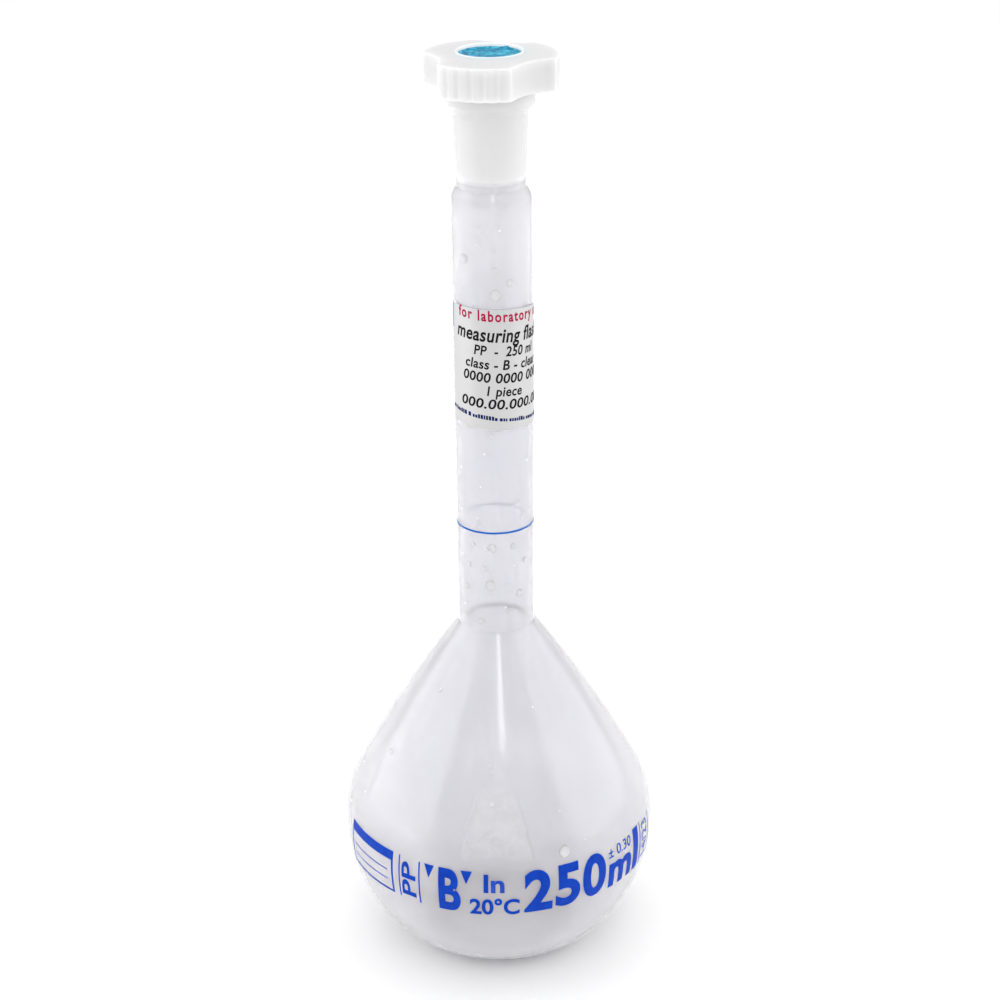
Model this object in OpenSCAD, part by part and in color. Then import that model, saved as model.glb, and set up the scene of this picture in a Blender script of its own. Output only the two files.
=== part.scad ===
// Volumetric flask, 250 ml, moulded polypropylene, with a lobed stopper for a 14/23 taper socket.
// Millimetres, +Z up along the flask's axis, origin at the centre of the standing face.
// The flask stands on z = 0. The raised flank of the stopper head and the print face -Y.

/* [Bulb] */
// Largest radius of the bulb
bulb_r = 40; // [39:0.5:41]
// Height of the bulb's widest circle above the standing face
bulb_centre_z = 33.4; // [33:0.2:34]
// Angle below the widest circle at which the lower bowl turns into the base corner
bowl_sweep = 40; // [36:1:44]
// Radius of the rounded corner between the bowl and the standing face
base_corner_r = 24.7; // [24.4:0.1:25.2]
// Radius of the turn just above the widest circle
upper_turn_r = 27.4; // [26:0.2:29]
// Angle through which that turn runs
upper_turn_sweep = 28; // [26:1:30]
// Radius of the long, almost straight flank that rises to the neck
flank_r = 340; // [280:1:400]
// Radius of the fillet between the flank and the neck
neck_fillet_r = 1; // [0.5:0.5:4]
// Wall thickness of the bulb and the neck
wall = 1.5; // [1.2:0.1:1.8]
// Radius of the shallow hollow under the base
base_hollow_r = 14; // [10:1:16]
// Depth of the shallow hollow under the base
base_hollow_depth = 1; // [0.4:0.2:1.2]

/* [Neck] */
// Outer radius of the neck where it leaves the bulb
neck_bottom_r = 9.55; // [9:0.05:10]
// Outer radius of the neck under the shoulder
neck_top_r = 9.65; // [9.2:0.05:10]
// Height at which the neck ends and the shoulder begins
neck_top_z = 198.1; // [190:0.1:199]
// Radius of the shoulder's rounding
shoulder_r = 5.5; // [5:0.1:6]

/* [Socket] */
// Height of the flask without its stopper
flask_height = 224.4; // [224:0.1:226]
// Diameter of the tapered socket at its mouth
socket_mouth_d = 14.5; // [14.3:0.1:14.7]
// Length of the tapered socket
socket_length = 23; // [22:0.5:23]
// Change of the taper's diameter per millimetre of its length
taper = 0.1; // [0.08:0.01:0.12]
// Outer radius of the socket at the shoulder
socket_bottom_r = 8.25; // [7.9:0.05:8.4]
// Outer radius of the socket under the collar
socket_top_r = 8.9; // [8.6:0.05:9.1]
// Radius of the collar around the mouth
collar_r = 10.5; // [10:0.1:11]
// Height of the collar's straight rim
collar_rim_h = 2.9; // [1.5:0.1:4]
// Height of the cone under the collar's rim
collar_cone_h = 2; // [0.8:0.1:3]

/* [Ring mark and label] */
// Height of the ring mark, to which the flask holds 250 ml
ring_z = 116.7; // [110:0.1:125]
// Height of the printed ring
ring_h = 0.5; // [0.3:0.1:0.8]
// Thickness of the printed ring
ring_thick = 0.06; // [0.05:0.01:0.1]
// Height of the label's lower edge
label_z = 143.8; // [130:0.1:160]
// Height of the label
label_h = 30.5; // [20:0.5:35]
// Angle that the label wraps around the neck
label_wrap = 188; // [120:1:300]
// Direction of the label's middle, with -90 at the front
label_middle = -70; // [-110:1:-40]
// Thickness of the label
label_thick = 0.12; // [0.1:0.01:0.2]

/* [Stopper] */
// Radius of the grip head over its three lobes
head_r = 16; // [15.5:0.1:17]
// Height of the grip head at its rim
head_h = 7.7; // [6:0.1:9]
// Rise of the head's top from its rim to the lip round the seat
crown_h = 0.5; // [0.2:0.1:0.8]
// Height of the head's underside above the collar
head_gap = 0.3; // [0.2:0.1:2]
// Half of the angle that each lobe covers
lobe_half = 33; // [28:0.1:34]
// Direction of the first lobe's middle
lobe_first = -105; // [-120:1:-60]
// Radius of the head at the middle of the hollow flank between two lobes
flank_mid_r = 12.4; // [11.8:0.1:13]
// Number of grip ribs on each lobe
ribs = 6; // [4:1:8]
// Depth of the grooves between the ribs
rib_depth = 0.35; // [0.2:0.05:0.6]
// Rounding of the head's upper and lower rims
head_edge = 0.6; // [0.3:0.1:0.8]
// Length of the plug below the flask's mouth
plug_length = 20.3; // [18:0.1:22]
// Radial play between plug and socket
plug_play = 0.06; // [0.03:0.01:0.1]
// Wall thickness of the hollow plug
plug_wall = 1.4; // [1:0.1:1.8]
// Radius of the colour disc's seat in the head
seat_r = 7.5; // [6.5:0.05:8]
// Height of the lip round the seat
lip_h = 0.4; // [0.1:0.1:0.5]
// Depth of the seat under its lip
seat_depth = 2.1; // [1.7:0.1:2.4]
// Thickness of the colour disc at its floor
disc_thick = 1.05; // [0.6:0.05:1.2]

/* [Hidden] */
$fn = 96;

arc_steps = 20;
long_arc_steps = 30;

bowl_turn = [bulb_r * cos(bowl_sweep), bulb_centre_z - bulb_r * sin(bowl_sweep)];
corner_centre = bowl_turn - base_corner_r * [cos(bowl_sweep), -sin(bowl_sweep)];
turn_centre = [bulb_r - upper_turn_r, bulb_centre_z];
flank_centre = turn_centre - (flank_r - upper_turn_r) * [cos(upper_turn_sweep), sin(upper_turn_sweep)];
// Angle of the flank where it would meet the neck, on the outside and the inside
flank_end = acos((neck_bottom_r - flank_centre.x) / flank_r);
flank_end_in = acos((neck_bottom_r - wall - flank_centre.x) / (flank_r - wall));
// Height of that meeting point
junction_z = flank_centre.y + flank_r * sin(flank_end);
junction_in_z = flank_centre.y + (flank_r - wall) * sin(flank_end_in);
fillet_rise = neck_fillet_r * tan(flank_end / 2);
fillet_angle = fillet_rise / flank_r * 180 / PI;

shoulder_top_z = neck_top_z + sqrt(shoulder_r * shoulder_r
    - pow(shoulder_r - (neck_top_r - socket_bottom_r), 2));
rim_z = flask_height - collar_rim_h;
cone_z = rim_z - collar_cone_h;
rim_round = 0.5;
socket_end_z = flask_height - socket_length;
mouth_r = socket_mouth_d / 2;
socket_end_r = mouth_r - socket_length * taper / 2;
inner_neck_top_r = neck_top_r - wall;
inner_shoulder_h = 3;

head_z = flask_height + head_gap;
head_top_z = head_z + head_h;
crown_z = head_top_z + crown_h;
lip_top_z = crown_z + lip_h;
lip_w = 0.7;
plug_end_z = flask_height - plug_length;
plug_hollow_top_z = head_z + 1.5;
plug_lead = 0.5;
disc_play = 0.05;
disc_rim_w = 0.6;
disc_rim_h = 0.3;
skin_gap = 0.01;

// Points of an arc about a centre, from angle a0 to angle a1
function arc(centre, r, a0, a1, steps) =
    [for (i = [0:steps]) let (a = a0 + (a1 - a0) * i / steps) centre + r * [cos(a), sin(a)]];

// Outer radius of the neck at height z
function neck_r(z) = neck_bottom_r
    + (neck_top_r - neck_bottom_r) * (z - junction_z) / (neck_top_z - junction_z);

// Radius of the plug's outside at height z, parallel to the socket's wall
function plug_r(z) = mouth_r - plug_play + (z - flask_height) * taper / 2;

// Angle, measured at the corner's centre, at which a corner arc of radius r reaches height z
function corner_angle(r, z) = -asin((corner_centre.y - z) / r);

function flask_outside() = concat(
    arc(corner_centre, base_corner_r, corner_angle(base_corner_r, 0), -bowl_sweep, arc_steps),
    arc([0, bulb_centre_z], bulb_r, -bowl_sweep, 0, arc_steps),
    arc(turn_centre, upper_turn_r, 0, upper_turn_sweep, arc_steps),
    arc(flank_centre, flank_r, upper_turn_sweep, flank_end - fillet_angle, arc_steps),
    arc([neck_bottom_r + neck_fillet_r, junction_z + fillet_rise], neck_fillet_r,
        180 + flank_end, 180, 6),
    arc([neck_top_r - shoulder_r, neck_top_z], shoulder_r,
        0, asin((shoulder_top_z - neck_top_z) / shoulder_r), 8),
    [[socket_top_r, cone_z], [collar_r, rim_z]],
    arc([collar_r - rim_round, flask_height - rim_round], rim_round, 0, 90, 4));

function flask_inside() = concat(
    [[mouth_r + rim_round, flask_height], [mouth_r, flask_height - rim_round]],
    [[socket_end_r, socket_end_z], [inner_neck_top_r, socket_end_z - inner_shoulder_h]],
    [[neck_bottom_r - wall, junction_in_z]],
    arc(flank_centre, flank_r - wall, flank_end_in, upper_turn_sweep, arc_steps),
    arc(turn_centre, upper_turn_r - wall, upper_turn_sweep, 0, arc_steps),
    arc([0, bulb_centre_z], bulb_r - wall, 0, -bowl_sweep, arc_steps),
    arc(corner_centre, base_corner_r - wall, -bowl_sweep,
        corner_angle(base_corner_r - wall, wall), arc_steps));

// Floor between the two walls: the inside is domed over the hollow under the base
function flask_floor() = [
    [base_hollow_r, wall], [base_hollow_r - 3, wall + base_hollow_depth], [0, wall + base_hollow_depth],
    [0, base_hollow_depth], [base_hollow_r - 3, base_hollow_depth], [base_hollow_r, 0]];

// One moulding: bulb, neck, shoulder, tapered socket and collar
module flask_body() {
    color([0.93, 0.94, 0.97, 0.6])
        rotate_extrude()
            polygon(concat(flask_outside(), flask_inside(), flask_floor()));
}

// A skin of the neck's own taper, between two heights, around part of the neck
module neck_skin(z0, z1, thick, start, sweep) {
    rotate([0, 0, start])
        rotate_extrude(angle = sweep)
            polygon([
                [neck_r(z0) + skin_gap, z0], [neck_r(z0) + skin_gap + thick, z0],
                [neck_r(z1) + skin_gap + thick, z1], [neck_r(z1) + skin_gap, z1]]);
}

// Self-adhesive label
module neck_label() {
    color("gainsboro")
        neck_skin(label_z, label_z + label_h, label_thick, label_middle - label_wrap / 2, label_wrap);
}

// Printed line all round the neck
module ring_mark() {
    color("royalblue")
        neck_skin(ring_z - ring_h / 2, ring_z + ring_h / 2, ring_thick, 0, 360);
}

// Ribbed outline of one lobe, from its first corner to its last
function lobe_outline(middle) = let (steps = ribs * 8)
    [for (i = [0:steps]) let (
        a = middle - lobe_half + 2 * lobe_half * i / steps,
        groove = rib_depth * (1 - abs(sin(180 * i / 8))),
        r = head_r - (i == 0 || i == steps ? 0 : groove))
        r * [cos(a), sin(a)]];

// Hollow flank between two lobes: a circular arc through both corners and flank_mid_r
function flank_outline(middle) = let (
    half = 60 - lobe_half,
    half_chord = head_r * sin(half),
    dip = head_r * cos(half) - flank_mid_r,
    r = (half_chord * half_chord + dip * dip) / (2 * dip),
    reach = asin(half_chord / r),
    centre = (flank_mid_r + r) * [cos(middle), sin(middle)])
    [for (i = [1:9]) let (a = middle + 180 + reach - 2 * reach * i / 10)
        centre + r * [cos(a), sin(a)]];

function head_outline() = [for (k = [0:2]) each concat(
    lobe_outline(lobe_first + 120 * k), flank_outline(lobe_first + 120 * k + 60))];

// Body of revolution that rounds the rims of the lobes and crowns the top
module head_envelope() {
    rotate_extrude()
        polygon(concat(
            [[0, head_z]],
            arc([head_r - head_edge, head_z + head_edge], head_edge, -90, 0, 5),
            arc([head_r - head_edge, head_top_z - head_edge], head_edge, 0, 90, 5),
            [[seat_r + lip_w, crown_z], [0, crown_z]]));
}

// One moulding: three-lobed grip head on a hollow tapered plug
module stopper() {
    color("whitesmoke")
        difference() {
            union() {
                intersection() {
                    translate([0, 0, head_z])
                        linear_extrude(height = head_h + crown_h)
                            polygon(head_outline());
                    head_envelope();
                }
                rotate_extrude()
                    polygon([
                        [0, plug_end_z], [plug_r(plug_end_z) - plug_lead, plug_end_z],
                        [plug_r(plug_end_z + plug_lead), plug_end_z + plug_lead],
                        [plug_r(head_z), head_z], [plug_r(head_z), head_z + 1], [0, head_z + 1]]);
                rotate_extrude()
                    polygon([
                        [0, crown_z - 1], [seat_r + lip_w, crown_z - 1], [seat_r + lip_w, crown_z],
                        [seat_r + lip_w / 2, lip_top_z], [0, lip_top_z]]);
            }
            rotate_extrude()
                polygon([
                    [0, plug_end_z - 1], [plug_r(plug_end_z - 1) - plug_wall, plug_end_z - 1],
                    [plug_r(plug_hollow_top_z) - plug_wall, plug_hollow_top_z], [0, plug_hollow_top_z]]);
            translate([0, 0, lip_top_z - seat_depth])
                cylinder(r = seat_r, h = seat_depth + 1);
        }
}

// Colour-code insert: a shallow dish that lies in the seat of the head
module colour_disc() {
    floor_z = lip_top_z - seat_depth;
    disc_r = seat_r - disc_play;
    color("darkcyan")
        rotate_extrude()
            polygon([
                [0, floor_z], [disc_r, floor_z],
                [disc_r, floor_z + disc_thick + disc_rim_h],
                [disc_r - disc_rim_w, floor_z + disc_thick + disc_rim_h],
                [disc_r - disc_rim_w - disc_rim_h, floor_z + disc_thick], [0, floor_z + disc_thick]]);
}

flask_body();
neck_label();
ring_mark();
stopper();
colour_disc();
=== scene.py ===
"""Looks of a 250 ml polypropylene volumetric flask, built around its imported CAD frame.

Metres, in the frame of the part: +Z up along the flask's axis, standing on z = 0, printed side
towards -Y. Directions round the axis are in degrees, with -90 at the front.
"""

import math
import random

import bmesh
import bpy
from mathutils import Matrix, Vector, noise


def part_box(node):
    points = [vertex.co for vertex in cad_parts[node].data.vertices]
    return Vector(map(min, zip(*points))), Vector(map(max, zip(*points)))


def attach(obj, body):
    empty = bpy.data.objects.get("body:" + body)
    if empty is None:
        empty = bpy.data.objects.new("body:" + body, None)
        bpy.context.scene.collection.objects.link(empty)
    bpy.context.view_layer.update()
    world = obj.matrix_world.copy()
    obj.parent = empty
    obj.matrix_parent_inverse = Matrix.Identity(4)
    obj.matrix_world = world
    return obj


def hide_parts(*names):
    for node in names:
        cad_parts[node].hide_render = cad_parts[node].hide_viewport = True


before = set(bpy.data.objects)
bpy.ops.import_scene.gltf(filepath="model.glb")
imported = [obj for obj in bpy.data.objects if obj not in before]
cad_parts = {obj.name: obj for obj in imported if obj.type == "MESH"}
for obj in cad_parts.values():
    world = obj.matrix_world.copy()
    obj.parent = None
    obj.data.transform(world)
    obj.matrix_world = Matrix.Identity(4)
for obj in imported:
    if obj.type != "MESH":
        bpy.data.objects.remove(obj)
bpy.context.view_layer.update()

MM = 0.001

# ---------------------------------------------------------------- sizes, as the CAD source has them
BULB_R = 40 * MM
BULB_Z = 33.4 * MM
BOWL_SWEEP = math.radians(40)
CORNER_R = 24.7 * MM
TURN_R = 27.4 * MM
TURN_SWEEP = math.radians(28)
FLANK_R = 340 * MM
FILLET_R = 1 * MM
WALL = 1.5 * MM
HOLLOW_R = 14 * MM
HOLLOW_D = 1 * MM
NECK_R0 = 9.55 * MM
NECK_R1 = 9.65 * MM
NECK_TOP = 198.1 * MM
SHOULDER_R = 5.5 * MM
FLASK_H = 224.4 * MM
MOUTH_R = 7.25 * MM
SOCKET_LENGTH = 23 * MM
TAPER = 0.05
SOCKET_R0 = 8.25 * MM
SOCKET_R1 = 8.9 * MM
COLLAR_R = 10.5 * MM
RIM_Z = 221.5 * MM
CONE_Z = 219.5 * MM
HEAD_Z = 224.7 * MM
HEAD_TOP = 232.4 * MM
CROWN_Z = 232.9 * MM
LIP_TOP = 233.3 * MM
HEAD_R = 16 * MM
HEAD_EDGE = 0.6 * MM
LOBE_HALF = 33
LOBE_FIRST = -105
HOLLOW_MID_R = 12.4 * MM
RIBS = 6
RIB_DEPTH = 0.35 * MM
PLUG_END = 204.1 * MM
PLUG_WALL = 1.4 * MM
SEAT_R = 7.5 * MM
SEAT_FLOOR = 231.2 * MM
RING_Z = 116.7 * MM
RING_H = 0.5 * MM

MATERIALS = {}

# Middle range of a noise texture, which is spread over a material's tones and values
NOISE_LOW = 0.3
NOISE_HIGH = 0.7


# ---------------------------------------------------------------- node helpers
class Paint:
    """A material, with the few node calls that the finishes share."""

    def __init__(self, name):
        self.material = bpy.data.materials.new(name)
        self.material.use_nodes = True
        self.tree = self.material.node_tree
        self.tree.nodes.clear()
        self.out = self.add("ShaderNodeOutputMaterial")

    def add(self, kind):
        return self.tree.nodes.new(kind)

    def link(self, source, target):
        self.tree.links.new(source, target)

    def noise(self, scale, detail=3.0, distortion=0.0, stretch=None):
        source = self.add("ShaderNodeTexCoord").outputs["Object"]
        if stretch:
            mapping = self.add("ShaderNodeMapping")
            mapping.inputs["Scale"].default_value = stretch
            self.link(source, mapping.inputs["Vector"])
            source = mapping.outputs["Vector"]
        node = self.add("ShaderNodeTexNoise")
        node.inputs["Scale"].default_value = scale
        node.inputs["Detail"].default_value = detail
        node.inputs["Distortion"].default_value = distortion
        self.link(source, node.inputs["Vector"])
        return node.outputs["Fac"]

    def ramp(self, source, stops):
        node = self.add("ShaderNodeValToRGB")
        band = node.color_ramp
        while len(band.elements) < len(stops):
            band.elements.new(0.5)
        for element, (position, colour) in zip(band.elements, stops):
            element.position = position
            element.color = (*colour, 1)
        self.link(source, node.inputs["Fac"])
        return node.outputs["Color"]

    def reach(self, measure, start, end, low=0.0, high=1.0):
        """Maps a measure from one range to another, and holds it at the ends."""
        node = self.add("ShaderNodeMapRange")
        node.inputs["From Min"].default_value = start
        node.inputs["From Max"].default_value = end
        node.inputs["To Min"].default_value = low
        node.inputs["To Max"].default_value = high
        self.link(measure, node.inputs["Value"])
        return node.outputs["Result"]

    def span(self, source, low, high):
        """Spreads a noise's middle range between two values."""
        return self.reach(source, NOISE_LOW, NOISE_HIGH, low, high)

    def tones(self, source, dark, light):
        """Colours a noise's middle range from one tone to another."""
        return self.ramp(source, [(NOISE_LOW, dark), (NOISE_HIGH, light)])

    def calc(self, operation, *values):
        """One step of arithmetic with numbers or sockets."""
        node = self.add("ShaderNodeMath")
        node.operation = operation
        for socket, value in zip(node.inputs, values):
            if isinstance(value, bpy.types.NodeSocket):
                self.link(value, socket)
            else:
                socket.default_value = value
        return node.outputs[0]

    def place(self):
        """The three coordinates of a point of the piece."""
        node = self.add("ShaderNodeSeparateXYZ")
        self.link(self.add("ShaderNodeTexCoord").outputs["Object"], node.inputs[0])
        return node.outputs["X"], node.outputs["Y"], node.outputs["Z"]

    def radius(self):
        """Distance from the axis."""
        flat = self.add("ShaderNodeVectorMath")
        flat.operation = "MULTIPLY"
        flat.inputs[1].default_value = (1, 1, 0)
        self.link(self.add("ShaderNodeTexCoord").outputs["Object"], flat.inputs[0])
        length = self.add("ShaderNodeVectorMath")
        length.operation = "LENGTH"
        self.link(flat.outputs["Vector"], length.inputs[0])
        return length.outputs["Value"]

    def fade(self, measure, lower, upper, start, end):
        """One colour below a start value and another above an end value of a measure."""
        mix = self.add("ShaderNodeMix")
        mix.data_type = "RGBA"
        self.link(self.reach(measure, start, end), mix.inputs["Factor"])
        self.link(lower, mix.inputs[6])
        self.link(upper, mix.inputs[7])
        return mix.outputs[2]

    def bump(self, source, strength, distance, under=None):
        node = self.add("ShaderNodeBump")
        node.inputs["Strength"].default_value = strength
        node.inputs["Distance"].default_value = distance
        self.link(source, node.inputs["Height"])
        if under:
            self.link(under, node.inputs["Normal"])
        return node.outputs["Normal"]

    def principled(self, **values):
        """Finishes the material with a Principled shader; sockets are linked and numbers are set."""
        node = self.add("ShaderNodeBsdfPrincipled")
        for key, value in values.items():
            name = key.replace("_", " ").title().replace("Ior", "IOR")
            if isinstance(value, bpy.types.NodeSocket):
                self.link(value, node.inputs[name])
            else:
                node.inputs[name].default_value = value
        self.link(node.outputs["BSDF"], self.out.inputs["Surface"])
        return self.material

    def absorb(self, colour, density):
        """Takes light away along the way through the wall, which darkens it where it is seen edge on."""
        node = self.add("ShaderNodeVolumeAbsorption")
        node.inputs["Color"].default_value = (*colour, 1)
        node.inputs["Density"].default_value = density
        self.link(node.outputs["Volume"], self.out.inputs["Volume"])


# Flow mark on the front of the bulb: a foggy arch with its crown and its foot at these heights
MARK_TOP = 60 * MM
MARK_FOOT = 41.6 * MM
MARK_HALF = 9.3 * MM
MARK_X = -0.7 * MM
GATE_Z = 45.4 * MM


def flow_mark(p):
    """Cover of the foggy arch, and its relief: a raised border, a ragged inside and the gate's blob."""
    x, y, z = p.place()
    aside = p.calc("SUBTRACT", x, MARK_X)
    across = p.calc("DIVIDE", aside, MARK_HALF)
    drop = p.calc("DIVIDE", p.calc("SUBTRACT", MARK_TOP, z), MARK_TOP - MARK_FOOT)
    level = p.calc("SUBTRACT", drop, p.calc("MULTIPLY", across, across))
    ragged = p.calc("MULTIPLY", p.calc("SUBTRACT", p.noise(260, 4), 0.5), 0.3)
    level = p.calc("ADD", level, ragged)
    above_foot = p.reach(z, MARK_FOOT - 1 * MM, MARK_FOOT + 1 * MM)
    front = p.calc("MULTIPLY", p.reach(y, -10 * MM, -15 * MM), above_foot)
    cover = p.calc("MULTIPLY", p.reach(level, -0.05, 0.25), p.calc("MULTIPLY", p.noise(240, 5, 0.8), front))
    border = p.calc("MULTIPLY", p.reach(level, -0.08, 0.05, 0, 0.35), p.reach(level, 0.18, 0.05))
    streaks = p.calc("MULTIPLY", p.noise(330, 5, 1.2, (1, 1, 0.5)), cover)
    over = p.calc("ABSOLUTE", p.calc("SUBTRACT", z, GATE_Z))
    squares = p.calc("POWER", p.calc("ABSOLUTE", aside), 2), p.calc("POWER", over, 2)
    off_gate = p.calc("POWER", p.calc("ADD", *squares), 0.5)
    blob = p.calc("MULTIPLY", p.reach(off_gate, 1.7 * MM, 0.7 * MM), front)
    relief = p.calc("ADD", p.calc("MULTIPLY", border, front), p.calc("ADD", streaks, blob))
    return cover, relief


# Heights between which the wall turns into the whiter socket, at the end of the plug
SOCKET_FOOT = (PLUG_END - 0.8 * MM, PLUG_END + 0.4 * MM)


def clear_polypropylene():
    """Natural polypropylene with a haze, faintly lavender, with a soft moulded gloss; whiter at the socket.
    Its colour holds painted light and shade: lighter at the foot and on the upper neck, darker on the
    collar.
    """
    p = Paint("clear_polypropylene")
    waves = p.bump(p.noise(70, 2), 0.06, 0.0008)
    cover, arch = flow_mark(p)
    z = p.place()[2]
    body = p.tones(p.noise(55, 4), (0.885, 0.88, 0.93), (0.93, 0.925, 0.968))
    # Painted light: the lowest part of the bulb is toned lighter, to lift the shade that falls there.
    foot = p.tones(p.noise(55, 4), (0.95, 0.945, 0.985), (0.975, 0.97, 1.0))
    body = p.fade(z, foot, body, 8 * MM, 26 * MM)
    # Painted light: the upper neck, above the label, is toned lighter than the wall below it.
    painted_light_upper_neck = p.tones(p.noise(55, 4), (0.925, 0.92, 0.955), (0.96, 0.955, 0.985))
    body = p.fade(z, body, painted_light_upper_neck, 172 * MM, 190 * MM)
    fog = p.tones(p.noise(300, 4), (0.9, 0.9, 0.93), (0.97, 0.97, 0.98))
    body = p.fade(cover, body, fog, 0, 1)
    socket = p.tones(p.noise(90, 4), (0.9, 0.893, 0.912), (0.925, 0.918, 0.937))
    # Painted shade: the collar under the stopper's head is toned darker, for the head's shadow on it.
    collar = p.tones(p.noise(90, 4), (0.83, 0.825, 0.84), (0.86, 0.855, 0.87))
    socket = p.fade(z, socket, collar, CONE_Z, CONE_Z + 1.5 * MM)
    clarity = p.reach(z, *SOCKET_FOOT, 0.75, 0.33)
    clarity = p.calc("MINIMUM", clarity, p.reach(z, 8 * MM, 30 * MM, 0.6, 0.75))
    p.absorb((0.3, 0.3, 0.35), 14)
    return p.principled(
        base_color=p.fade(z, body, socket, *SOCKET_FOOT),
        roughness=p.span(p.noise(160, 5), 0.09, 0.13),
        transmission_weight=p.calc("SUBTRACT", clarity, p.calc("MULTIPLY", cover, 0.1)),
        subsurface_weight=0.6,
        subsurface_radius=(0.9, 0.95, 1.0),
        subsurface_scale=0.004,
        ior=1.49,
        coat_weight=0.7,
        coat_roughness=0.12,
        normal=p.bump(arch, 0.5, 0.0004, waves),
    )


def white_polypropylene():
    """Milky, dense polypropylene of the stopper. Its tones hold painted light and shade: a painted
    highlight on the seat's lip and in the grooves, a painted teal glow round the seat, a top toned darker
    than the ribs, and a plug toned lighter.
    """
    p = Paint("white_polypropylene")
    waves = p.bump(p.noise(150, 2), 0.12, 0.0004)
    cloud = p.noise(90, 4)
    # Painted highlight: the lip round the seat is toned much whiter than the head.
    lip = p.tones(cloud, (0.85, 0.87, 0.875), (0.88, 0.9, 0.9))
    # Painted glow: a teal tint round the seat, for the disc's light scattered through the plastic.
    painted_teal_glow = p.tones(cloud, (0.62, 0.665, 0.68), (0.65, 0.695, 0.71))
    # Painted shade: the top face and the flanks are toned a little darker than the ribs.
    top = p.tones(cloud, (0.635, 0.635, 0.642), (0.665, 0.665, 0.672))
    # Painted highlight: the bottoms of the grooves and a thin ring near the rim are toned lighter.
    painted_highlight_groove = p.tones(cloud, (0.71, 0.71, 0.716), (0.74, 0.74, 0.746))
    rib = p.tones(cloud, (0.65, 0.65, 0.654), (0.68, 0.68, 0.684))
    # Painted light: the plug, seen through the socket, is toned lighter and warmer than the head.
    plug = p.tones(cloud, (0.785, 0.765, 0.76), (0.815, 0.795, 0.79))
    grip = p.fade(p.radius(), lip, painted_teal_glow, SEAT_R + 0.3 * MM, SEAT_R + 0.45 * MM)
    grip = p.fade(p.radius(), grip, top, SEAT_R + 0.6 * MM, SEAT_R + 2 * MM)
    grip = p.fade(p.radius(), grip, painted_highlight_groove, HEAD_R - 0.42 * MM, HEAD_R - 0.34 * MM)
    grip = p.fade(p.radius(), grip, rib, HEAD_R - 0.27 * MM, HEAD_R - 0.15 * MM)
    return p.principled(
        base_color=p.fade(p.place()[2], plug, grip, HEAD_Z - 1 * MM, HEAD_Z + 0.5 * MM),
        roughness=p.span(p.noise(300, 4), 0.3, 0.42),
        subsurface_weight=0.9,
        subsurface_radius=(1.0, 0.95, 0.9),
        subsurface_scale=0.004,
        ior=1.49,
        normal=p.bump(p.noise(1500, 3), 0.15, 0.0001, waves),
    )


def teal_plastic():
    """Torn, mottled face of the colour insert."""
    p = Paint("teal_plastic")
    blue = [(0.34, (0.001, 0.12, 0.25)), (0.5, (0.004, 0.27, 0.44)), (0.64, (0.07, 0.5, 0.66))]
    return p.principled(
        base_color=p.ramp(p.noise(420, 5, 1.5), blue),
        roughness=p.span(p.noise(900, 4), 0.35, 0.6),
        specular_ior_level=0.2,
        subsurface_weight=0.1,
        subsurface_radius=(0.4, 0.9, 1.0),
        subsurface_scale=0.001,
        normal=p.bump(p.noise(1100, 5), 0.5, 0.0003),
    )


def label_film():
    """Silvery satin film with a faint vertical grain."""
    p = Paint("label_film")
    waves = p.bump(p.noise(120, 1), 0.06, 0.0003)
    grain = p.noise(300, 2, stretch=(1, 1, 0.15))
    return p.principled(
        base_color=p.tones(grain, (0.545, 0.543, 0.545), (0.56, 0.558, 0.56)),
        metallic=0.7,
        roughness=p.span(p.noise(200, 2), 0.29, 0.31),
        normal=waves,
    )


def ink(name, dark, light, roughness=0.45, clarity=0.0):
    """Printed ink with slightly uneven cover and gloss."""
    p = Paint(name)
    return p.principled(
        base_color=p.tones(p.noise(420, 5), dark, light),
        roughness=p.span(p.noise(700, 3), roughness - 0.06, roughness + 0.08),
        specular_ior_level=0.04,
        transmission_weight=clarity,
        normal=p.bump(p.noise(2500, 3), 0.15, 0.00005),
    )


def water():
    """Fine condensation, which takes the milky look of the wall under it."""
    p = Paint("clear_water")
    return p.principled(
        base_color=p.tones(p.noise(300, 2), (0.95, 0.95, 0.97), (0.99, 0.99, 1.0)),
        roughness=p.span(p.noise(400, 2), 0.03, 0.07),
        transmission_weight=0.6,
        ior=1.2,
    )


def make_materials():
    MATERIALS["clear_pp"] = clear_polypropylene()
    MATERIALS["white_pp"] = white_polypropylene()
    MATERIALS["teal_plastic"] = teal_plastic()
    MATERIALS["label_film"] = label_film()
    MATERIALS["blue_ink"] = ink("blue_ink", (0.0, 0.04, 0.43), (0.0, 0.06, 0.53), 0.4, 0.15)
    MATERIALS["ring_ink"] = ink("ring_ink", (0.0, 0.11, 0.52), (0.0, 0.13, 0.6), 0.4, 0.15)
    MATERIALS["black_ink"] = ink("black_ink", (0.006, 0.006, 0.008), (0.012, 0.012, 0.014))
    MATERIALS["red_ink"] = ink("red_ink", (0.32, 0.006, 0.04), (0.4, 0.012, 0.07))
    MATERIALS["navy_ink"] = ink("navy_ink", (0.003, 0.012, 0.09), (0.006, 0.02, 0.13))
    MATERIALS["clear_water"] = water()


# ---------------------------------------------------------------- mesh helpers
def arc(centre, radius, start, end, steps):
    """Points of an arc in the (radius, height) plane, between two angles in radians."""
    angles = [start + (end - start) * i / steps for i in range(steps + 1)]
    return [(centre[0] + radius * math.cos(a), centre[1] + radius * math.sin(a)) for a in angles]


def line(a, b, steps):
    shares = [i / steps for i in range(steps + 1)]
    return [(a[0] + (b[0] - a[0]) * t, a[1] + (b[1] - a[1]) * t) for t in shares]


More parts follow.
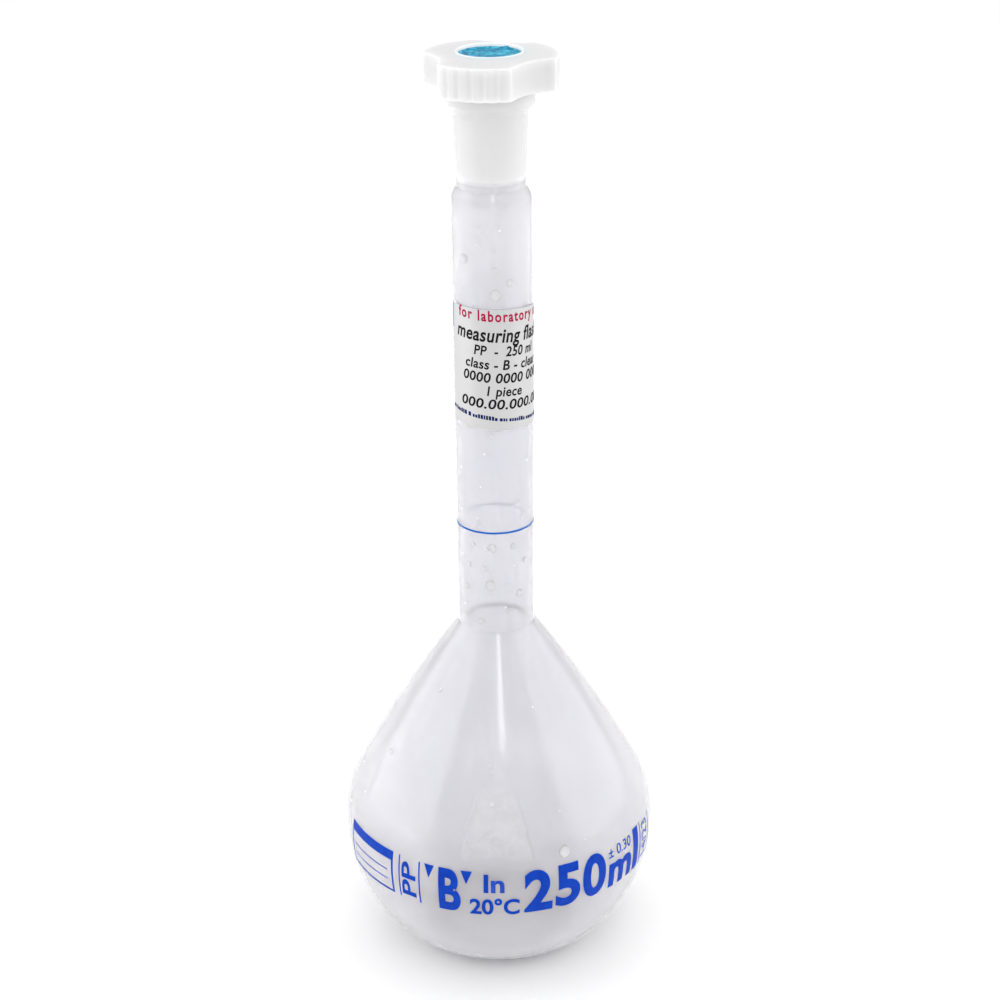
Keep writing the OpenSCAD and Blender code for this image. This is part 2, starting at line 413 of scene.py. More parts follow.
def tidy(points):
    """Drops points that repeat the one before."""
    kept = [points[0]]
    for point in points[1:]:
        if math.dist(point, kept[-1]) > 1e-7:
            kept.append(point)
    return kept


def smooth_step(value, low, high):
    t = min(1, max(0, (value - low) / (high - low)))
    return t * t * (3 - 2 * t)


def polar(radius, degrees, z):
    a = math.radians(degrees)
    return Vector((radius * math.cos(a), radius * math.sin(a), z))


def add_piece(name, bm, material, body=None, replaces=None, sharp=None):
    """Makes a smooth-shaded piece of a bmesh; edges sharper than the given angle stay sharp."""
    bmesh.ops.recalc_face_normals(bm, faces=bm.faces)
    mesh = bpy.data.meshes.new(name)
    bm.to_mesh(mesh)
    bm.free()
    mesh.polygons.foreach_set("use_smooth", [True] * len(mesh.polygons))
    if sharp:
        mesh.set_sharp_from_angle(angle=math.radians(sharp))
    mesh.materials.append(MATERIALS[material])
    piece = bpy.data.objects.new(name, mesh)
    bpy.context.scene.collection.objects.link(piece)
    if body:
        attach(piece, body)
    if replaces:
        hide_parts(replaces)
    return piece


def skin(rings, closed):
    """Faces between neighbouring rings of points; a ring of one point is a pole."""
    bm = bmesh.new()
    rows = [[bm.verts.new(point) for point in ring] for ring in rings]
    pairs = list(zip(rows, rows[1:]))
    if closed:
        pairs.append((rows[-1], rows[0]))
    for low, high in pairs:
        count = max(len(low), len(high))
        for i in range(count):
            j = (i + 1) % count
            if len(low) == 1:
                bm.faces.new((low[0], high[j], high[i]))
            elif len(high) == 1:
                bm.faces.new((low[i], low[j], high[0]))
            else:
                bm.faces.new((low[i], low[j], high[j], high[i]))
    return bm


def revolve(profile, segments, relief=None):
    """A closed profile turned round the axis; relief adds to the radius by place and angle."""
    rings = []
    for r, z in profile:
        if r < 1e-6:
            rings.append([(0, 0, z)])
            continue
        angles = [360 * i / segments for i in range(segments)]
        rings.append([polar(r + (relief(r, z, a) if relief else 0), a, z) for a in angles])
    return skin(rings, len(rings[0]) > 1)


# ---------------------------------------------------------------- flask body
TURN = (BULB_R * math.cos(BOWL_SWEEP), BULB_Z - BULB_R * math.sin(BOWL_SWEEP))
CORNER = (TURN[0] - CORNER_R * math.cos(BOWL_SWEEP), TURN[1] + CORNER_R * math.sin(BOWL_SWEEP))
UPPER = (BULB_R - TURN_R, BULB_Z)
FLANK = (
    UPPER[0] - (FLANK_R - TURN_R) * math.cos(TURN_SWEEP),
    UPPER[1] - (FLANK_R - TURN_R) * math.sin(TURN_SWEEP),
)
FLANK_END = math.acos((NECK_R0 - FLANK[0]) / FLANK_R)
INNER_FILLET_R = 5 * MM
FLASK_SEGMENTS = 216
FLANK_END_IN = math.acos((NECK_R0 - WALL - FLANK[0]) / (FLANK_R - WALL))
JUNCTION_Z = FLANK[1] + FLANK_R * math.sin(FLANK_END)
JUNCTION_IN_Z = FLANK[1] + (FLANK_R - WALL) * math.sin(FLANK_END_IN)
FILLET_RISE = FILLET_R * math.tan(FLANK_END / 2)
FILLET = (NECK_R0 + FILLET_R, JUNCTION_Z + FILLET_RISE)
RISE_IN = INNER_FILLET_R * math.tan(FLANK_END_IN / 2)
FILLET_IN = (NECK_R0 - WALL + INNER_FILLET_R, JUNCTION_IN_Z + RISE_IN)
SHOULDER = (NECK_R1 - SHOULDER_R, NECK_TOP)
SHOULDER_END = math.acos((SOCKET_R0 - SHOULDER[0]) / SHOULDER_R)
SHOULDER_TOP = NECK_TOP + SHOULDER_R * math.sin(SHOULDER_END)

# Outside of the bulb, from the edge of the standing face to the start of the neck
BULB_OUTLINE = tidy(
    arc(CORNER, CORNER_R, -math.asin(CORNER[1] / CORNER_R), -BOWL_SWEEP, 26)
    + arc((0, BULB_Z), BULB_R, -BOWL_SWEEP, 0, 36)
    + arc(UPPER, TURN_R, 0, TURN_SWEEP, 24)
    + arc(FLANK, FLANK_R, TURN_SWEEP, FLANK_END - FILLET_RISE / FLANK_R, 40)
    + arc(FILLET, FILLET_R, math.pi + FLANK_END, math.pi, 8)
)


def neck_radius(z):
    return NECK_R0 + (NECK_R1 - NECK_R0) * (z - JUNCTION_Z) / (NECK_TOP - JUNCTION_Z)


def flask_profile():
    base = [(0, HOLLOW_D), (HOLLOW_R - 3 * MM, HOLLOW_D), (HOLLOW_R - 2 * MM, HOLLOW_D * 0.85)]
    base += [(HOLLOW_R - 0.7 * MM, HOLLOW_D * 0.12), (HOLLOW_R, 0), (BULB_OUTLINE[0][0] - 0.5 * MM, 0)]
    collar = line((SOCKET_R1 + 0.15 * MM, CONE_Z + 0.15 * MM), (COLLAR_R - 0.3 * MM, RIM_Z - 0.3 * MM), 4)
    outside = (
        base
        + BULB_OUTLINE
        + line(BULB_OUTLINE[-1], (NECK_R1, NECK_TOP), 44)
        + arc(SHOULDER, SHOULDER_R, 0, SHOULDER_END, 14)
        + line((SOCKET_R0 + 0.01 * MM, SHOULDER_TOP + 0.2 * MM), (SOCKET_R1, CONE_Z - 0.2 * MM), 16)
        + collar
        + [(COLLAR_R, RIM_Z + 0.2 * MM)]
        + arc((COLLAR_R - 0.5 * MM, FLASK_H - 0.5 * MM), 0.5 * MM, 0, math.pi / 2, 6)
    )
    socket_end = (MOUTH_R - SOCKET_LENGTH * TAPER, FLASK_H - SOCKET_LENGTH)
    inner_top = (NECK_R1 - WALL, FLASK_H - SOCKET_LENGTH - 3 * MM)
    corner_end = -math.asin((CORNER[1] - WALL) / (CORNER_R - WALL))
    inside = (
        [(MOUTH_R + 0.5 * MM, FLASK_H), (MOUTH_R + 0.15 * MM, FLASK_H - 0.15 * MM)]
        + line((MOUTH_R, FLASK_H - 0.5 * MM), socket_end, 20)
        + line(socket_end, inner_top, 6)
        + line(inner_top, (NECK_R0 - WALL, FILLET_IN[1]), 36)
        + arc(FILLET_IN, INNER_FILLET_R, math.pi, math.pi + FLANK_END_IN, 16)
        + arc(FLANK, FLANK_R - WALL, FLANK_END_IN - RISE_IN / (FLANK_R - WALL), TURN_SWEEP, 40)
        + arc(UPPER, TURN_R - WALL, TURN_SWEEP, 0, 24)
        + arc((0, BULB_Z), BULB_R - WALL, 0, -BOWL_SWEEP, 36)
        + arc(CORNER, CORNER_R - WALL, -BOWL_SWEEP, corner_end, 26)
        + [(HOLLOW_R, WALL), (HOLLOW_R - 3 * MM, WALL + HOLLOW_D), (0, WALL + HOLLOW_D)]
    )
    return tidy(outside + inside)


def relief(r, z, degrees):
    """Slight unevenness of the blow-moulded wall at a place on it."""
    a = math.radians(degrees)
    place = Vector((r * math.cos(a), r * math.sin(a), z))
    fade = smooth_step(z, 2 * MM, 12 * MM) * smooth_step(NECK_TOP - z, 0, 8 * MM)
    return noise.noise(place / (14 * MM)) * 0.035 * MM * fade


def add_flask():
    shell = revolve(flask_profile(), FLASK_SEGMENTS, relief)
    add_piece("flask", shell, "clear_pp", "flask", "flask_body", 50)


# ---------------------------------------------------------------- stopper
def plug_radius(z):
    """The plug fills the socket's taper, with a hair of squeeze."""
    return MOUTH_R + 0.02 * MM + (z - FLASK_H) * TAPER


def head_angles():
    """Directions at which the head's outline is sampled: closely on the ribs, wider between lobes."""
    angles = []
    for lobe in range(3):
        middle = LOBE_FIRST + 120 * lobe
        steps = RIBS * 20
        angles += [middle - LOBE_HALF + 2 * LOBE_HALF * i / steps for i in range(steps)]
        gap = 120 - 2 * LOBE_HALF
        angles += [middle + LOBE_HALF + gap * i / 30 for i in range(30)]
    return angles


def head_radius(degrees, depth):
    """Outline of the grip head: ribbed lobes, and a hollow circular flank between two of them."""
    turn = (degrees - LOBE_FIRST + 60) % 120 - 60
    if abs(turn) <= LOBE_HALF:
        wave = abs(math.sin(math.pi * RIBS * (turn + LOBE_HALF) / (2 * LOBE_HALF)))
        return HEAD_R - depth * (1 - wave)
    half = math.radians(60 - LOBE_HALF)
    dip = HEAD_R * math.cos(half) - HOLLOW_MID_R
    radius = ((HEAD_R * math.sin(half)) ** 2 + dip**2) / (2 * dip)
    centre = HOLLOW_MID_R + radius
    off = math.radians(60 - abs(turn))
    return centre * math.cos(off) - math.sqrt(radius**2 - (centre * math.sin(off)) ** 2)


def soft_head_radius(degrees, depth):
    """The same with its corners and grooves eased."""
    near = (-0.7, -0.35, 0, 0.35, 0.7)
    return sum(head_radius(degrees + step, depth) for step in near) / len(near)


def add_stopper():
    angles = head_angles()
    full = [soft_head_radius(a, RIB_DEPTH) for a in angles]
    plain = [soft_head_radius(a, 0) for a in angles]
    rim_r = 0.3 * MM
    hollow_top = HEAD_Z + 1.5 * MM

    def circle(radius, z):
        return [polar(radius, a, z) for a in angles]

    def outline(inset, z):
        """A ring of the head; the grooves run out towards its upper rim."""
        t = smooth_step(z, HEAD_TOP - 0.3 * MM, HEAD_TOP - 0.05 * MM)
        radii = [f + (p - f) * t - inset for f, p in zip(full, plain)]
        return [polar(r, a, z) for r, a in zip(radii, angles)]

    rings = [[(0, 0, hollow_top)]]
    rings += [circle(plug_radius(hollow_top) - PLUG_WALL - 0.4 * MM, hollow_top)]
    rings += [circle(plug_radius(hollow_top) - PLUG_WALL, hollow_top - 0.4 * MM)]
    rings += [circle(plug_radius(PLUG_END) - PLUG_WALL, PLUG_END)]
    rings += [circle(plug_radius(PLUG_END) - 0.4 * MM, PLUG_END)]
    rings += [circle(plug_radius(PLUG_END) - 0.12 * MM, PLUG_END + 0.12 * MM)]
    plug_low = (plug_radius(PLUG_END + 0.4 * MM), PLUG_END + 0.4 * MM)
    rings += [circle(r, z) for r, z in line(plug_low, (plug_radius(HEAD_Z), HEAD_Z), 12)]
    foot = outline(HEAD_EDGE, HEAD_Z)
    root = rings[-1]
    for t in (0.1, 0.5, 0.9, 1):
        rings.append([Vector(p).lerp(q, t) for p, q in zip(root, foot)])
    for i in range(1, 6):
        a = math.pi / 2 * i / 5
        rings.append(outline(HEAD_EDGE * (1 - math.sin(a)), HEAD_Z + HEAD_EDGE * (1 - math.cos(a))))
    for i in range(1, 26):
        rings.append(outline(0, HEAD_Z + HEAD_EDGE + (HEAD_TOP - rim_r - HEAD_Z - HEAD_EDGE) * i / 26))
    for i in range(0, 9):
        a = math.pi / 2 * i / 8
        rings.append(outline(rim_r * (1 - math.cos(a)), HEAD_TOP - rim_r * (1 - math.sin(a))))
    rim = rings[-1]
    shoulder = circle(SEAT_R + 0.75 * MM, CROWN_Z)
    for t in (0.06, 0.2, 0.4, 0.6, 0.8, 1):
        rings.append([Vector(p).lerp(q, t) for p, q in zip(rim, shoulder)])
    lip = ((0.45, -0.36), (0.32, -0.08), (0.18, 0), (0.06, -0.06), (0, -0.2))
    rings += [circle(SEAT_R + out * MM, LIP_TOP + rise * MM) for out, rise in lip]
    rings += [circle(SEAT_R, SEAT_FLOOR)]
    rings += [[(0, 0, SEAT_FLOOR)]]
    add_piece("stopper_moulding", skin(rings, False), "white_pp", "stopper", "stopper", 42)


def add_disc():
    """The colour insert: a shallow dish with a torn face and a burr on its rim."""
    low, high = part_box("colour_disc")
    base, rim = low.z + 0.01 * MM, high.z
    radius = high.x
    count = 144
    rows = [(radius, base), (radius, rim - 0.15 * MM), (radius - 0.15 * MM, rim), (radius - 0.5 * MM, rim)]
    rows += [(radius - 0.8 * MM, rim - 0.25 * MM)]
    steps = 26
    rows += [((radius - 1.1 * MM) * (1 - i / steps), rim - 0.35 * MM) for i in range(steps)]
    rings = [[(0, 0, base)]]
    for k, (r, z) in enumerate(rows):
        ring = []
        for i in range(count):
            degrees = 360 * i / count
            burr = math.exp(-(((degrees - 56) / 5) ** 2)) * (0 < k < 5)
            spot = polar(r, degrees, z)
            torn = noise.noise(spot / (0.9 * MM)) + 0.6 * noise.noise(spot / (0.4 * MM))
            rough = 0.13 if k > 4 else (0.05 if k > 1 else 0)
            spot.z += rough * torn * MM + 0.32 * MM * burr
            ring.append(spot)
        rings.append(ring)
    rings.append([(0, 0, rim - 0.35 * MM)])
    add_piece("disc_insert", skin(rings, False), "teal_plastic", "stopper", "colour_disc", 50)


# ---------------------------------------------------------------- things laid on the flask
def on_neck(degrees, z, height):
    """A point at a height above the wall of the neck."""
    r = neck_radius(z)
    return polar(r + relief(r, z, degrees) + height, degrees, z)


def bulb_rows():
    """Distance up the bulb's outline, radius, height and tilt of the wall's normal, row by row."""
    rows = []
    travelled = 0
    for a, b in zip(BULB_OUTLINE, BULB_OUTLINE[1:]):
        rows.append((travelled, a[0], a[1], math.atan2(b[1] - a[1], b[0] - a[0]) - math.pi / 2))
        travelled += math.dist(a, b)
    return rows


BULB_ROWS = bulb_rows()
PRINT_FOOT = next(row[0] for row in BULB_ROWS if row[2] >= 25.7 * MM)


def on_bulb(degrees, rise, height):
    """A point above the wall of the bulb; rise is measured up the wall from the foot of the print."""
    s = PRINT_FOOT + rise
    low, high = next(pair for pair in zip(BULB_ROWS, BULB_ROWS[1:]) if pair[1][0] >= s)
    t = (s - low[0]) / (high[0] - low[0])
    r, z, tilt = (low[k] + (high[k] - low[k]) * t for k in (1, 2, 3))
    r += relief(r, z, degrees)
    return polar(r + height * math.cos(tilt), degrees, z + height * math.sin(tilt))


def lettering(body, bold=0.0, slant=0.0, spacing=1.0):
    """A flat mesh of text, one unit high, standing on y = 0."""
    curve = bpy.data.curves.new("lettering", "FONT")
    curve.body = body
    curve.size = 1
    curve.offset = bold
    curve.shear = slant
    curve.space_character = spacing
    curve.resolution_u = 6
    holder = bpy.data.objects.new("lettering", curve)
    bpy.context.scene.collection.objects.link(holder)
    bpy.context.view_layer.update()
    mesh = bpy.data.meshes.new_from_object(holder.evaluated_get(bpy.context.evaluated_depsgraph_get()))
    bpy.data.objects.remove(holder)
    bm = bmesh.new()
    bm.from_mesh(mesh)
    bpy.data.meshes.remove(mesh)
    bmesh.ops.remove_doubles(bm, verts=bm.verts, dist=1e-5)
    return bm


def extent(bm, axis):
    values = [v.co[axis] for v in bm.verts]
    return min(values), max(values)


def fit(bm, axis, low, high):
    """Stretches a flat mesh along one axis so that it reaches from low to high."""
    first, last = extent(bm, axis)
    for v in bm.verts:
        v.co[axis] = low + (v.co[axis] - first) * (high - low) / (last - first)
        v.co.z = 0
    return bm


def flat_shape(points):
    bm = bmesh.new()
    bm.faces.new([bm.verts.new((x, y, 0)) for x, y in points])
    return bm


def flat_box(x0, y0, x1, y1):
    return flat_shape([(x0, y0), (x1, y0), (x1, y1), (x0, y1)])


def join(parts):
    """One mesh of several."""
    whole = bmesh.new()
    for part in parts:
        mesh = bpy.data.meshes.new("part")
        part.to_mesh(mesh)
        part.free()
        whole.from_mesh(mesh)
        bpy.data.meshes.remove(mesh)
    return whole


def cut_in_cells(flat, axis, pitch):
    low, high = extent(flat, axis)
    step = math.floor(low / pitch) + 1
    normal = [0, 0, 0]
    normal[axis] = 1
    while step * pitch < high:
        point = [0, 0, 0]
        point[axis] = step * pitch
        everything = flat.verts[:] + flat.edges[:] + flat.faces[:]
        bmesh.ops.bisect_plane(flat, geom=everything, dist=1e-9, plane_co=point, plane_no=normal)
        step += 1


def lay(flat, place, lift, thick):
    """Gives a flat mesh a thickness and lays it on a surface with place(x, y, height)."""
    solid = bmesh.new()
    low = {v: solid.verts.new(place(v.co.x, v.co.y, lift)) for v in flat.verts}
    high = {v: solid.verts.new(place(v.co.x, v.co.y, lift + thick)) for v in flat.verts}
    for f in flat.faces:
        solid.faces.new([high[v] for v in f.verts])
        solid.faces.new([low[v] for v in reversed(f.verts)])
    for e in flat.edges:
        if len(e.link_faces) == 1:
            a, b = e.verts
            solid.faces.new((low[a], low[b], high[b], high[a]))
    flat.free()
    return solid


INK_THICK = 0.03 * MM
INK_LIFT = 0.006 * MM


def add_ring_mark():
    columns = 300
    heights = (RING_Z - RING_H / 2, RING_Z + RING_H / 2)
    flat = bmesh.new()
    rows = [[flat.verts.new((360 * i / columns, y, 0)) for i in range(columns)] for y in heights]
    for i in range(columns):
        j = (i + 1) % columns
        flat.faces.new((rows[0][i], rows[0][j], rows[1][j], rows[1][i]))
    solid = lay(flat, on_neck, INK_LIFT, INK_THICK)
    add_piece("ring_line", solid, "ring_ink", "flask", "ring_mark", 40)


# ---------------------------------------------------------------- scale print on the bulb
PRINT_H = 12.2 * MM
HAIRLINE = 0.4 * MM
PER_MM = math.degrees(1 / BULB_R) * MM


def add_print():
    """The print on the bulb. x is the direction in degrees and y the rise above its foot."""
    parts = []

    def word(body, x0, x1, y0, y1, bold=0.035):
        parts.append(fit(fit(lettering(body, bold), 0, x0, x1), 1, y0, y1))

    def upright_word(body, x0, x1, y0, y1, bold):
        """Text that reads upwards."""
        bm = lettering(body, bold)
        for v in bm.verts:
            v.co.x, v.co.y = -v.co.y, v.co.x
        parts.append(fit(fit(bm, 0, x0, x1), 1, y0, y1))

    def bar(x):
        parts.append(flat_box(x, 0, x + HAIRLINE / MM * PER_MM, PRINT_H))

    def wedge(x0, x1, y0):
        parts.append(flat_shape([(x0, PRINT_H), ((x0 + x1) / 2, y0), (x1, PRINT_H)]))

    # write-on panel: a frame with ruled lines
    left, right, edge = -160.0, -132.0, 0.6 * MM
    side = edge / MM * PER_MM
    band = PRINT_H - 2.6 * MM
    parts.append(flat_box(left, 0, right, edge))
    parts.append(flat_box(left, band, right, PRINT_H))
    parts.append(flat_box(left, edge, left + side, band))
    parts.append(flat_box(right - side, edge, right, band))
    for y in (3.4 * MM, 6.2 * MM):
        parts.append(flat_box(left + 3, y, right - 3, y + 0.3 * MM))
    bar(-129.2)
    upright_word("PP", -127.8, -121.6, 1.2 * MM, 11.0 * MM, 0.02)
    bar(-120.4)
    wedge(-118.1, -114.2, 8.6 * MM)
    word("B", -112.4, -104.0, 0, PRINT_H)
    wedge(-104.1, -99.8, 8.6 * MM)
    word("In", -95.7, -88.2, 6.5 * MM, 11.6 * MM, 0.03)
    word("20°C", -100.8, -82.8, -0.3 * MM, 4.9 * MM, 0.03)
    word("2", -81.2, -70.6, 0, PRINT_H)
    word("5", -69.5, -59.6, -0.1 * MM, PRINT_H)
    word("0", -58.6, -47.9, -0.1 * MM, PRINT_H + 0.1 * MM)
    word("± 0.30", -46.3, -33.2, 8.8 * MM, 11.7 * MM, 0.01)
    word("m", -46.3, -32.8, 0, 7.2 * MM)
    word("l", -31.3, -27.4, 0, PRINT_H)
    bar(-25.8)
    upright_word("14/23", -24.0, -18.6, 1.0 * MM, 11.4 * MM, 0.0)
    bar(-16.4)
    flat = join(parts)
    cut_in_cells(flat, 0, 1.2)
    cut_in_cells(flat, 1, 1.0 * MM)
    solid = lay(flat, on_bulb, INK_LIFT, INK_THICK)
    add_piece("scale_print", solid, "blue_ink", "flask", None, 40)


# ---------------------------------------------------------------- label
LABEL_LEFT = -164
LABEL_RIGHT = 24
LABEL_THICK = 0.1 * MM
LABEL_LIFT = 0.02 * MM
LABEL_INK_THICK = 0.02 * MM
LABEL_INK_LIFT = 0.004 * MM
LINE_SLOPE = -0.065


def label_turn(arc_length, z):
    """Direction of a place on the label that lies so far round the neck from the front."""
    return -90 + math.degrees(arc_length / neck_radius(z))


def on_label(arc_length, z, height):
    return on_neck(label_turn(arc_length, z), z, LABEL_LIFT + LABEL_THICK + height)


def add_label():
    """The sticker, put on slightly askew."""

    def edge_low(x):
        return 143.85 * MM - 0.0606 * x + 2.25 * x**2

    def edge_high(x):
        return 174.3 * MM - 5.6 * max(0, x + 2 * MM) ** 2

    columns, rows = 150, 30
    start, end = (math.radians(a + 90) * NECK_R1 for a in (LABEL_LEFT, LABEL_RIGHT))
    flat = bmesh.new()
    grid = []
    for i in range(columns + 1):
        x = start + (end - start) * i / columns
        low, high = edge_low(x), edge_high(x)
        grid.append([flat.verts.new((x, low + (high - low) * j / rows, 0)) for j in range(rows + 1)])
    for a, b in zip(grid, grid[1:]):
        for j in range(rows):
            flat.faces.new((a[j], b[j], b[j + 1], a[j + 1]))

    def place(x, z, height):
        return on_neck(label_turn(x, z), z, height)

    solid = lay(flat, place, LABEL_LIFT, LABEL_THICK)
    add_piece("label_sheet", solid, "label_film", "flask", "neck_label", 40)


def add_label_print():
    """Lines of plain text; x is the way round the neck from the front and y the height."""
    capital = extent(lettering("H"), 1)[1]

    def text_line(body, x0, x1, z, cap, bold=0.012, slant=0.0, spacing=1.0):
        bm = lettering(body, bold, slant, spacing)
        for v in bm.verts:
            v.co.y *= cap / capital
        fit(bm, 0, x0, x1)
        for v in bm.verts:
            v.co.y += z + LINE_SLOPE * (v.co.x - 1 * MM)
        return bm

    def finish_lines(name, parts, material):
        flat = join(parts)
        cut_in_cells(flat, 0, 0.4 * MM)
        solid = lay(flat, on_label, LABEL_INK_LIFT, LABEL_INK_THICK)
        add_piece(name, solid, material, "flask", None, 40)

    slogan = text_line("for laboratory use", -9.2 * MM, 17 * MM, 171.3 * MM, 2.5 * MM, 0.028, 0, 1.25)
    finish_lines("label_print_red", [slogan], "red_ink")
    black = [
        text_line("measuring flask", -9.9 * MM, 15.5 * MM, 166.2 * MM, 3.3 * MM, 0.022, 0.2, 1.06),
        text_line("PP  -  250 ml", -4.7 * MM, 11.7 * MM, 162.7 * MM, 2.35 * MM, 0.02, 0.16, 1.05),
        text_line("class - B - clear", -7.1 * MM, 13.8 * MM, 159.3 * MM, 2.35 * MM, 0.02, 0.16, 1.05),
        text_line("0000 0000 0000", -7.8 * MM, 16 * MM, 155.95 * MM, 2.35 * MM, 0.02, 0.16, 1.05),
        text_line("1 piece", -1.6 * MM, 7.3 * MM, 152.6 * MM, 2.35 * MM, 0.02, 0.16, 1.05),
        text_line("000.00.000.00", -8.5 * MM, 15 * MM, 149.3 * MM, 2.35 * MM, 0.02, 0.16, 1.05),
    ]
    finish_lines("label_print_black", black, "black_ink")
    # a row of small blocks stands for the address line
    chance = random.Random(7)
    slope = -0.117
    blocks = []
    x = -12.6 * MM
    while x < 15 * MM:
        width = chance.uniform(0.35, 0.75) * MM
        height = chance.choice((0.75, 0.75, 1.05)) * MM
        z = 146.35 * MM + slope * x
        blocks.append(flat_shape([(x, z), (x + width, z + slope * width),
                                  (x + width, z + slope * width + height), (x, z + height)]))
        x += width + chance.choice((0.16, 0.16, 0.16, 0.16, 0.5)) * MM
    finish_lines("label_print_navy", blocks, "navy_ink")
    stripe = flat_box(-12.45 * MM, 168 * MM, -12.15 * MM, 174 * MM)
    cut_in_cells(stripe, 1, 1 * MM)
    solid = lay(stripe, on_label, LABEL_INK_LIFT, LABEL_INK_THICK)
    add_piece("label_stripe", solid, "blue_ink", "flask", None, 40)


# ---------------------------------------------------------------- drops of water
DROP_RISE = 0.06


def lens(place, radius, height, chance):
    """Rings of a closed lens-shaped drop on a wall, slightly out of round and sagging."""
    stretch = chance.uniform(0.85, 1.2)
    count = 16
    lift = 0.008 * MM
    rings = [[place(0, 0, lift)]]
    for share, level in ((1, 0), (0.92, 0.14), (0.72, 0.48), (0.46, 0.8), (0.22, 0.96)):
        ring = []
        for i in range(count):
            a = 2 * math.pi * i / count
            sag = 1 + 0.12 * math.cos(a + math.pi / 2) + 0.05 * math.sin(2 * a + radius * 9e3)
            x, y = share * radius * math.cos(a) * sag, share * radius * stretch * math.sin(a) * sag
            ring.append(place(x, y - 0.15 * radius * level, lift + height * level))
        rings.append(ring)
    rings.append([place(0, -0.15 * radius, lift + height)])
    return rings


def add_drops():
    """Condensation on the neck and bulb: the larger drops in their places, the fine ones at random."""
    chance = random.Random(11)

    def fine(count, low, high):
        """So many small drops between two heights, anywhere round the wall."""
        uniform = chance.uniform
        return [(uniform(-180, 180), uniform(low, high), uniform(0.4, 0.8)) for _ in range(count)]

    # direction, height and width of each drop; on the bulb the height is up the wall from the print
    neck = [(-95, 112.8, 1.9), (-98, 102.7, 2.3), (-65, 112.9, 1.2), (-124, 113.2, 1.2), (-133, 107.4, 1.2)]
    neck += [(-138, 101.3, 1.4), (-41, 108.2, 1.5), (-53, 99.7, 1.9), (-69, 95.3, 1.6), (-108, 107.4, 0.8)]
    neck += [(-76, 102.6, 0.8), (-113, 92.5, 1.6), (-49, 120.1, 0.8), (-56, 124.3, 0.8), (-93, 142.4, 1.1)]
    neck += [(-86, 184, 1.2), (-65, 180.5, 1.7), (-86, 177.9, 2.4), (-133, 186.2, 2.2), (-88, 188.9, 0.9)]
    neck += fine(34, 93, 142)
    neck += fine(12, 176, 195)
    bulb = [(-94, 38.5, 1.2), (-93, 29.2, 1.2), (-137, 54.5, 1.5), (-154, 34, 1.8), (-65, 15.6, 2.6)]
    bulb += [(-56, 17, 1.0), (-64, 25.6, 0.8)]
    bulb += fine(12, 14, 52)
    spots = [(on_neck, *spot, NECK_R0) for spot in neck] + [(on_bulb, *spot, 0.8 * BULB_R) for spot in bulb]
    drops = []
    for wall, degrees, up, size, turn_r in spots:

        def place(x, y, height):
            return wall(degrees + math.degrees(x / turn_r), up * MM + y, height)

        drops.append(skin(lens(place, size * MM / 2, DROP_RISE * size * MM, chance), False))
    add_piece("water_drops", join(drops), "clear_water", "flask")


# ---------------------------------------------------------------- stage, light and camera
def add_floor():
    p = Paint("floor")
    MATERIALS["floor"] = p.principled(
        base_color=p.tones(p.noise(30, 3), (0.96, 0.96, 0.96), (0.98, 0.98, 0.98)),
        roughness=0.9,
    )
    sheet = bmesh.new()
    bmesh.ops.create_circle(sheet, cap_ends=True, radius=8, segments=96)
    add_piece("floor", sheet, "floor")


def add_softbox(name, place, target, width, height, radiance):
    """A rectangular lamp that shines with the given brightness, whatever its size."""
    data = bpy.data.lights.new(name, "AREA")
    data.shape = "RECTANGLE"
    data.size = width
    data.size_y = height
    data.energy = radiance * width * height * math.pi
    lamp = bpy.data.objects.new(name, data)
    lamp.location = place
    lamp.visible_camera = False
    lamp.rotation_mode = "QUATERNION"
    lamp.rotation_quaternion = (Vector(target) - Vector(place)).to_track_quat("-Z", "Y")
    bpy.context.scene.collection.objects.link(lamp)


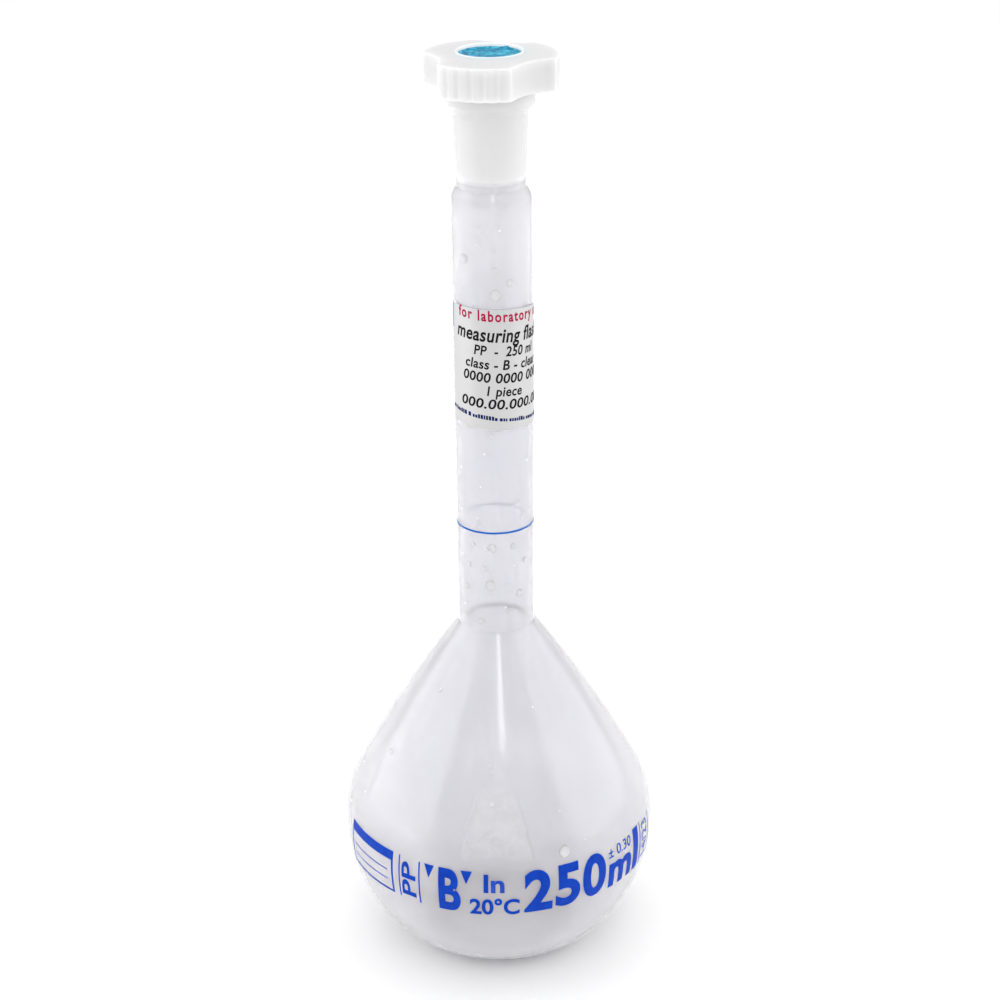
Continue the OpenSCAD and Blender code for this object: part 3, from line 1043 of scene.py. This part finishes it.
def add_light():
    """A soft white room, lamps on either side, and a narrow strip and a weak wide fill in front."""
    world = bpy.data.worlds.new("studio")
    bpy.context.scene.world = world
    world.use_nodes = True
    nodes, links = world.node_tree.nodes, world.node_tree.links
    room = nodes["Background"]
    room.inputs["Strength"].default_value = 0.885
    backdrop = nodes.new("ShaderNodeBackground")
    backdrop.inputs["Strength"].default_value = 1.0
    for background in (room, backdrop):
        background.inputs["Color"].default_value = (1, 1, 1, 1)
    mix = nodes.new("ShaderNodeMixShader")
    links.new(nodes.new("ShaderNodeLightPath").outputs["Is Camera Ray"], mix.inputs[0])
    links.new(room.outputs[0], mix.inputs[1])
    links.new(backdrop.outputs[0], mix.inputs[2])
    links.new(mix.outputs[0], nodes["World Output"].inputs["Surface"])
    add_softbox("softbox_left", (-0.85, -0.02, 0.42), (0, 0, 0.14), 1.25, 0.8, 0.93)
    add_softbox("softbox_right", (0.85, 0.0, 0.42), (0, 0, 0.14), 1.25, 0.8, 0.82)
    add_softbox("strip_front", (0.085, -1.02, 1.2), (0, 0, 0.1), 0.18, 0.8, 2.7)
    add_softbox("fill_front", (0, -1.6, 0.9), (0, 0, 0.12), 2.4, 1.6, 0.17)
    add_softbox("card_left", (-0.42, 0.03, 0.06), (0, 0.03, 0.06), 0.54, 0.12, 0.2)
    add_softbox("card_right", (0.42, 0.03, 0.06), (0, 0.03, 0.06), 0.54, 0.12, 0.08)
    add_softbox("softbox_top", (0, 0.4, 1.6), (0, 0, 0), 1.4, 1.4, 0.8)
    bpy.context.scene.view_settings.view_transform = "Standard"


def add_camera():
    """The photograph's point of view: a long lens from just above, with a touch of roll."""
    data = bpy.data.cameras.new("camera")
    data.lens = 81
    data.sensor_width = 36
    data.clip_start = 0.01
    camera = bpy.data.objects.new("camera", data)
    camera.location = (1.2 * MM, -509.8 * MM, 345.2 * MM)
    pitch = math.radians(23.7)
    aim = Vector((0, math.cos(pitch), -math.sin(pitch))).to_track_quat("-Z", "Y")
    roll = Matrix.Rotation(math.radians(-0.65), 4, "Z")
    camera.rotation_euler = (aim.to_matrix().to_4x4() @ roll).to_euler()
    bpy.context.scene.collection.objects.link(camera)
    bpy.context.scene.camera = camera


make_materials()
add_flask()
add_stopper()
add_disc()
add_ring_mark()
add_print()
add_label()
add_label_print()
add_drops()
add_floor()
add_light()
add_camera()
